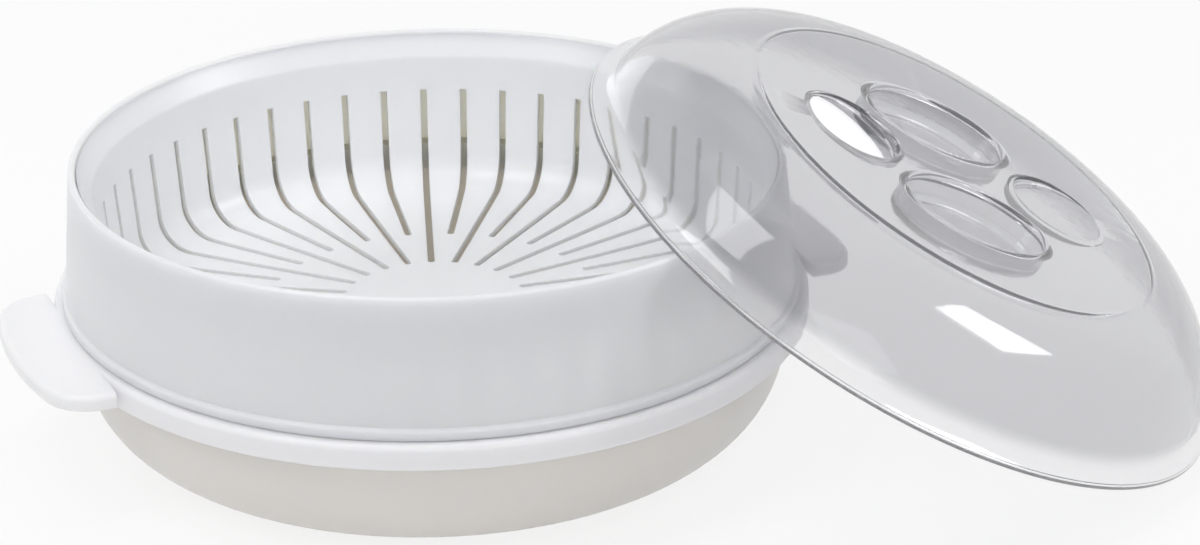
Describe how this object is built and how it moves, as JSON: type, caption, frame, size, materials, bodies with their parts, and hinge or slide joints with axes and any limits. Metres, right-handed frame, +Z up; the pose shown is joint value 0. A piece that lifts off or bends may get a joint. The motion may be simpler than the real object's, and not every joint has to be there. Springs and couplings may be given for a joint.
{
  "type": "microwave steamer",
  "caption": "Round microwave steamer: tab-handled water bowl, collar with slotted drop-in basket, and a clear domed lid leaning against the rim.",
  "frame": {"origin": "middle of the bowl's flat foot, on the table", "axes": "+Z up along the bowl's axis; +X through the tab handles, on the side where the lid leans"},
  "size_m": [0.3289, 0.2579, 0.1086],
  "materials": {
    "bowl_white": "white moulded polypropylene, soft gloss, slightly warm",
    "collar_white": "white moulded polypropylene, soft gloss",
    "basket_white": "white moulded polypropylene, soft gloss",
    "lid_clear": "clear moulded polypropylene, polished, faint haze"
  },
  "bodies": {
    "bowl": {"water_bowl": "bowl_white"},
    "collar": {"tier_collar": "collar_white"},
    "basket": {"steam_basket": "basket_white"},
    "lid": {"lid": "lid_clear"}
  },
  "joints": [
    {"name": "collar_lift", "type": "slide", "parent": "bowl", "child": "collar", "axis": [0, 0, 1], "range_m": [0, 0.06]},
    {"name": "basket_lift", "type": "slide", "parent": "collar", "child": "basket", "axis": [0, 0, 1], "range_m": [0, 0.06]},
    {"name": "lid_lift", "type": "slide", "parent": "basket", "child": "lid", "axis": [0, 0, 1], "range_m": [0, 0.1]}
  ]
}
